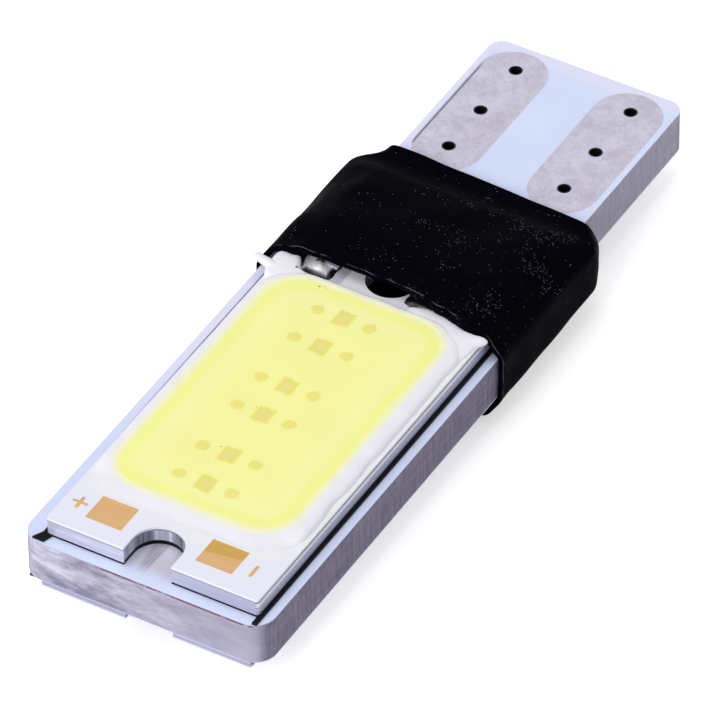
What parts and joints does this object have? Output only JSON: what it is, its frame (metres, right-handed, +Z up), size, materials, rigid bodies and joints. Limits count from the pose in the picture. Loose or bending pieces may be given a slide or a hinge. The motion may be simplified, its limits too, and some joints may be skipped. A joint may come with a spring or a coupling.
{
  "type": "wedge base led bulb",
  "caption": "Flat double-sided LED wedge bulb: T-shaped circuit board core, a yellow chip-on-board light plate on each face, a black heat-shrink sleeve and a plated wedge base.",
  "frame": {"origin": "middle of the bulb in plan, at the level of its lowest face as it lies flat", "axes": "+Y along the bulb from the light end to the wedge base, +Z up through the thickness, +X across the width"},
  "size_m": [0.0124, 0.038, 0.0053],
  "materials": {
    "fibreglass": "sawn fibreglass laminate edge, greyish lavender",
    "tinned_copper": "mottled hot-air tinned copper",
    "black_film": "semi-matte heat-shrink film with fine dust",
    "white_mask": "glossy white solder mask with a cool tint",
    "black_adhesive": "cured black adhesive",
    "aluminium_plate": "milled bright edges",
    "white_coat": "satin white reflective coat",
    "bare_copper": "bare copper with a light lacquer",
    "chip_crystal": "clear sapphire chip",
    "gold": "bright gold",
    "white_silicone": "glossy white silicone",
    "yellow_phosphor": "soft satin phosphor gel, pale yellow",
    "solder": "shiny solder with brownish flux",
    "black_epoxy": "moulded epoxy",
    "dark_ceramic": "glazed thick-film resistor"
  },
  "bodies": {
    "root": {"circuit_board": "fibreglass", "left_base_contact": "tinned_copper", "right_base_contact": "tinned_copper", "heat_shrink_sleeve": "black_film", "upper_solder_mask": "white_mask", "upper_thermal_adhesive": "black_adhesive", "upper_light_plate": "aluminium_plate", "upper_white_coat": "white_coat", "upper_near_copper_pads": "bare_copper", "upper_far_copper_pads": "bare_copper", "upper_light_chips": "chip_crystal", "upper_bond_pads": "gold", "upper_bond_wires": "gold", "upper_silicone_dam": "white_silicone", "upper_phosphor_pool": "yellow_phosphor", "upper_link_strips": "tinned_copper", "upper_plate_solder_joints": "solder", "upper_board_solder_joints": "solder", "upper_diodes": "black_epoxy", "upper_resistors": "dark_ceramic", "lower_solder_mask": "white_mask", "lower_thermal_adhesive": "black_adhesive", "lower_light_plate": "aluminium_plate", "lower_white_coat": "white_coat", "lower_near_copper_pads": "bare_copper", "lower_far_copper_pads": "bare_copper", "lower_light_chips": "chip_crystal", "lower_bond_pads": "gold", "lower_bond_wires": "gold", "lower_silicone_dam": "white_silicone", "lower_phosphor_pool": "yellow_phosphor", "lower_link_strips": "tinned_copper", "lower_plate_solder_joints": "solder", "lower_board_solder_joints": "solder", "lower_diodes": "black_epoxy", "lower_resistors": "dark_ceramic"}
  },
  "joints": []
}
